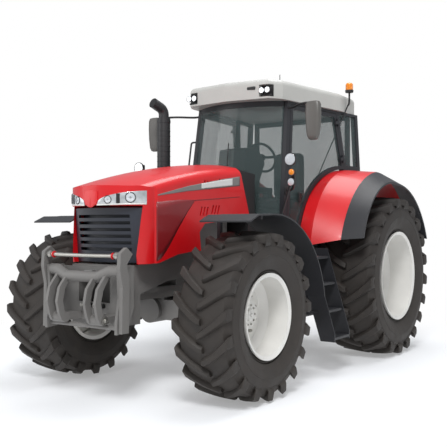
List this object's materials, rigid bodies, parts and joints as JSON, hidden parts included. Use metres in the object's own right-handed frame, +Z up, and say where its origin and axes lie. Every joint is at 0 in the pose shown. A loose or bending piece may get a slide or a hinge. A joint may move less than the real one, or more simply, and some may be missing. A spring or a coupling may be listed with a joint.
{
  "type": "farm tractor",
  "caption": "Four-wheel-drive farm tractor with cab, steered front axle, front and rear linkage, opening doors and tilting hood; wheels turn and the lifts move.",
  "frame": {"origin": "middle of the bounding box on the ground", "axes": "+Z up, -Y forward to the hood, +X to the left of the machine"},
  "size_m": [2.9738, 5.6029, 3.65],
  "materials": {
    "tyre": "matt black rubber",
    "rim_white": "gloss",
    "grey_metal": "satin",
    "steel": "brushed",
    "charcoal": "fine grain",
    "red_paint": "gloss",
    "black_plastic": "matt",
    "lamp_white": "gloss",
    "roof_white": "satin",
    "glass": "tinted clear",
    "grey_plastic": "satin",
    "black_metal": "satin",
    "amber": "clear amber",
    "seat_fabric": "woven"
  },
  "bodies": {
    "chassis": {"front_axle": "grey_metal", "front_frame": "grey_metal", "engine": "grey_metal", "transmission": "grey_metal", "rear_axle": "grey_metal", "bulkhead": "black_plastic", "cab_frame": "charcoal", "cab_roof": "roof_white", "windscreen": "glass", "rear_window": "glass", "quarter_windows": "glass", "work_lamps": "lamp_white", "mirrors": "grey_plastic", "exhaust": "black_metal", "beacon": "amber", "antenna": "black_plastic", "grab_rail": "black_metal", "console": "black_plastic", "steering_wheel": "black_plastic", "seat_base": "black_plastic", "seat_pads": "seat_fabric", "fuel_tank": "charcoal", "service_box": "charcoal", "rear_fender_left": "red_paint", "rear_fender_right": "red_paint", "fender_flare_left": "charcoal", "fender_flare_right": "charcoal", "rear_hitch": "grey_metal", "linkage_frame": "grey_metal"},
    "knuckle_left": {"knuckle_left": "grey_metal", "front_fender_left": "charcoal"},
    "knuckle_right": {"knuckle_right": "grey_metal", "front_fender_right": "charcoal"},
    "steering_rod": {"steering_rod": "steel"},
    "wheel_front_left": {"tyre_front_left": "tyre", "rim_front_left": "rim_white"},
    "wheel_front_right": {"tyre_front_right": "tyre", "rim_front_right": "rim_white"},
    "wheel_rear_left": {"tyre_rear_left": "tyre", "rim_rear_left": "rim_white"},
    "wheel_rear_right": {"tyre_rear_right": "tyre", "rim_rear_right": "rim_white"},
    "door_left": {"door_frame_left": "charcoal", "door_glass_left": "glass"},
    "door_right": {"door_frame_right": "charcoal", "door_glass_right": "glass"},
    "hood": {"hood_shell": "red_paint", "grille": "black_plastic", "headlamps": "lamp_white"},
    "front_lift": {"front_lift_arms": "grey_metal"},
    "rear_lift": {"lower_links": "grey_metal"},
    "lift_arms": {"lift_arms": "grey_metal"},
    "lift_rods": {"lift_rods": "steel"},
    "top_link": {"top_link": "grey_metal"}
  },
  "joints": [
    {"name": "steer_left", "type": "hinge", "parent": "chassis", "child": "knuckle_left", "pos_m": [0.8, -1.5915, 0.79727], "axis": [0, 0, 1], "range_deg": [-30, 30]},
    {"name": "steer_right", "type": "hinge", "parent": "chassis", "child": "knuckle_right", "pos_m": [-0.8, -1.5915, 0.79727], "axis": [0, 0, 1], "range_deg": [-30, 30]},
    {"name": "steering_rod_slide", "type": "slide", "parent": "chassis", "child": "steering_rod", "axis": [1, 0, 0], "range_m": [-0.0985, 0.0985]},
    {"name": "front_left_spin", "type": "hinge", "parent": "knuckle_left", "child": "wheel_front_left", "pos_m": [1.11, -1.5915, 0.79727], "axis": [1, 0, 0], "continuous": true},
    {"name": "front_right_spin", "type": "hinge", "parent": "knuckle_right", "child": "wheel_front_right", "pos_m": [-1.11, -1.5915, 0.79727], "axis": [1, 0, 0], "continuous": true},
    {"name": "rear_left_spin", "type": "hinge", "parent": "chassis", "child": "wheel_rear_left", "pos_m": [1.13, 1.5015, 1.00718], "axis": [1, 0, 0], "continuous": true},
    {"name": "rear_right_spin", "type": "hinge", "parent": "chassis", "child": "wheel_rear_right", "pos_m": [-1.13, 1.5015, 1.00718], "axis": [1, 0, 0], "continuous": true},
    {"name": "door_left_swing", "type": "hinge", "parent": "chassis", "child": "door_left", "pos_m": [0.83717, 1.13796, 2.5], "axis": [-0.0733, -0.1529, 0.9855], "range_deg": [0, 75]},
    {"name": "door_right_swing", "type": "hinge", "parent": "chassis", "child": "door_right", "pos_m": [-0.83717, 1.13796, 2.5], "axis": [-0.0733, 0.1529, -0.9855], "range_deg": [0, 75]},
    {"name": "hood_lift", "type": "hinge", "parent": "chassis", "child": "hood", "pos_m": [0, -0.7885, 2.272], "axis": [-1, 0, 0], "range_deg": [0, 50]},
    {"name": "front_lift_fold", "type": "hinge", "parent": "chassis", "child": "front_lift", "pos_m": [0, -2.6185, 0.73], "axis": [1, 0, 0], "range_deg": [0, 75]},
    {"name": "rear_lift_raise", "type": "hinge", "parent": "chassis", "child": "rear_lift", "pos_m": [0, 1.9315, 0.64], "axis": [1, 0, 0], "range_deg": [-15, 25]},
    {"name": "lift_arm_swing", "type": "hinge", "parent": "chassis", "child": "lift_arms", "pos_m": [0, 1.7515, 1.4], "axis": [1, 0, 0], "range_deg": [-9.7, 16.1]},
    {"name": "lift_rod_swing", "type": "hinge", "parent": "lift_arms", "child": "lift_rods", "pos_m": [0, 2.2515, 1.52], "axis": [1, 0, 0], "range_deg": [-16.1, 9.7]},
    {"name": "top_link_swing", "type": "hinge", "parent": "chassis", "child": "top_link", "pos_m": [0, 1.9265, 1.13], "axis": [1, 0, 0], "range_deg": [-35, 25]}
  ],
  "couplings": [
    {"joint": "steer_right", "follows": "steer_left", "ratio": 1},
    {"joint": "steering_rod_slide", "follows": "steer_left", "m_per_rad": -0.187},
    {"joint": "lift_arm_swing", "follows": "rear_lift_raise", "ratio": 0.64},
    {"joint": "lift_rod_swing", "follows": "rear_lift_raise", "ratio": -0.64}
  ]
}
